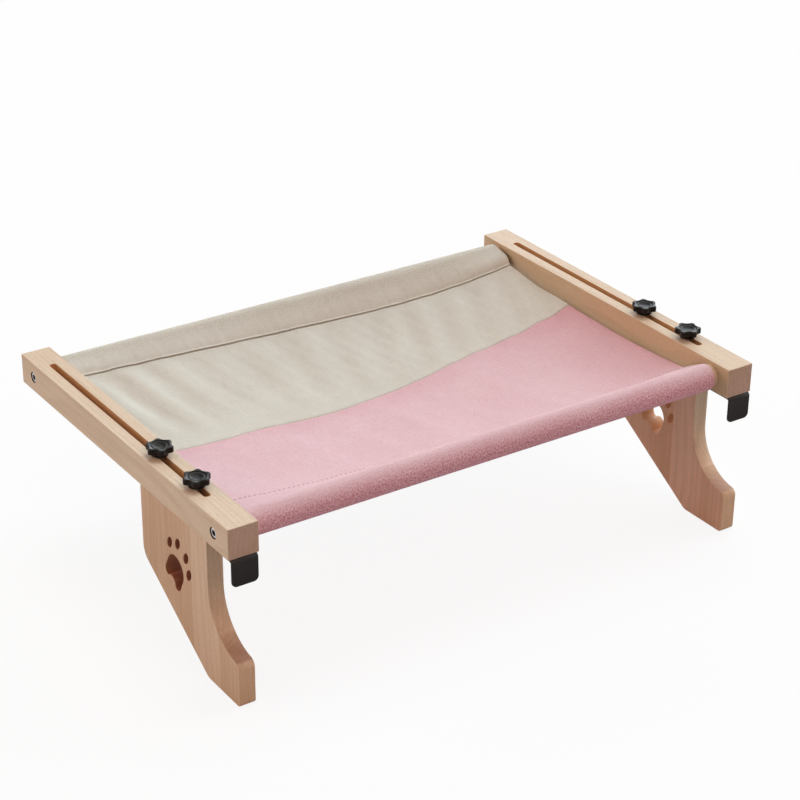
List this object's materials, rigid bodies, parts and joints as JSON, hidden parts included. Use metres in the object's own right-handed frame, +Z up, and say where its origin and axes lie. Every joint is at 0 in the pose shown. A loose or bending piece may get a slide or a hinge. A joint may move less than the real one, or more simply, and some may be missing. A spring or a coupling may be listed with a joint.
{
  "type": "cat window hammock",
  "caption": "Cat perch for a window ledge: a fabric sling between slotted wooden rails, with hooks, sliding legs with paw cut-outs and star knobs.",
  "frame": {"origin": "midway between the two hooks, on the rear faces of their lips and the undersides of their flanges, where the edge of the window ledge comes", "axes": "+X across the perch to the right as seen from the hooks looking into the room, +Y from the hooks into the room along the rails, +Z up"},
  "size_m": [0.58, 0.402, 0.1928],
  "materials": {
    "wood": "pale beech, sanded and unvarnished",
    "rod_wood": "plain dowel",
    "steel": "zinc plated",
    "hook_black": "black satin coating",
    "knob_black": "black satin moulding",
    "cream_cloth": "cream canvas",
    "pink_cloth": "pink short pile"
  },
  "bodies": {
    "frame": {"left_rail": "wood", "right_rail": "wood", "front_rod": "rod_wood", "rear_rod": "rod_wood", "rod_nuts": "steel", "rod_bolts": "steel", "left_hook": "hook_black", "right_hook": "hook_black", "cream_panel": "cream_cloth", "pink_panel": "pink_cloth"},
    "left_leg": {"left_leg": "wood", "left_leg_nuts": "steel"},
    "left_front_washer": {"left_front_washer": "steel"},
    "left_front_knob": {"left_front_knob": "knob_black", "left_front_stud": "steel"},
    "left_rear_washer": {"left_rear_washer": "steel"},
    "left_rear_knob": {"left_rear_knob": "knob_black", "left_rear_stud": "steel"},
    "right_leg": {"right_leg": "wood", "right_leg_nuts": "steel"},
    "right_front_washer": {"right_front_washer": "steel"},
    "right_front_knob": {"right_front_knob": "knob_black", "right_front_stud": "steel"},
    "right_rear_washer": {"right_rear_washer": "steel"},
    "right_rear_knob": {"right_rear_knob": "knob_black", "right_rear_stud": "steel"}
  },
  "joints": [
    {"name": "left_leg_slide", "type": "slide", "parent": "frame", "child": "left_leg", "axis": [0, 1, 0], "range_m": [-0.0165, 0.2145]},
    {"name": "left_front_lift", "type": "slide", "parent": "left_leg", "child": "left_front_washer", "axis": [0, 0, 1], "range_m": [0, 0.003]},
    {"name": "left_front_turn", "type": "hinge", "parent": "left_front_washer", "child": "left_front_knob", "pos_m": [-0.275, 0.0785, 0], "axis": [0, 0, 1], "range_deg": [0, 1080]},
    {"name": "left_rear_lift", "type": "slide", "parent": "left_leg", "child": "left_rear_washer", "axis": [0, 0, 1], "range_m": [0, 0.003]},
    {"name": "left_rear_turn", "type": "hinge", "parent": "left_rear_washer", "child": "left_rear_knob", "pos_m": [-0.275, 0.1455, 0], "axis": [0, 0, 1], "range_deg": [0, 1080]},
    {"name": "right_leg_slide", "type": "slide", "parent": "frame", "child": "right_leg", "axis": [0, 1, 0], "range_m": [-0.0165, 0.2145]},
    {"name": "right_front_lift", "type": "slide", "parent": "right_leg", "child": "right_front_washer", "axis": [0, 0, 1], "range_m": [0, 0.003]},
    {"name": "right_front_turn", "type": "hinge", "parent": "right_front_washer", "child": "right_front_knob", "pos_m": [0.275, 0.0785, 0], "axis": [0, 0, 1], "range_deg": [0, 1080]},
    {"name": "right_rear_lift", "type": "slide", "parent": "right_leg", "child": "right_rear_washer", "axis": [0, 0, 1], "range_m": [0, 0.003]},
    {"name": "right_rear_turn", "type": "hinge", "parent": "right_rear_washer", "child": "right_rear_knob", "pos_m": [0.275, 0.1455, 0], "axis": [0, 0, 1], "range_deg": [0, 1080]}
  ],
  "couplings": [
    {"joint": "left_front_turn", "follows": "left_front_lift", "rad_per_m": 6283.2},
    {"joint": "left_rear_turn", "follows": "left_rear_lift", "rad_per_m": 6283.2},
    {"joint": "right_front_turn", "follows": "right_front_lift", "rad_per_m": 6283.2},
    {"joint": "right_rear_turn", "follows": "right_rear_lift", "rad_per_m": 6283.2}
  ]
}
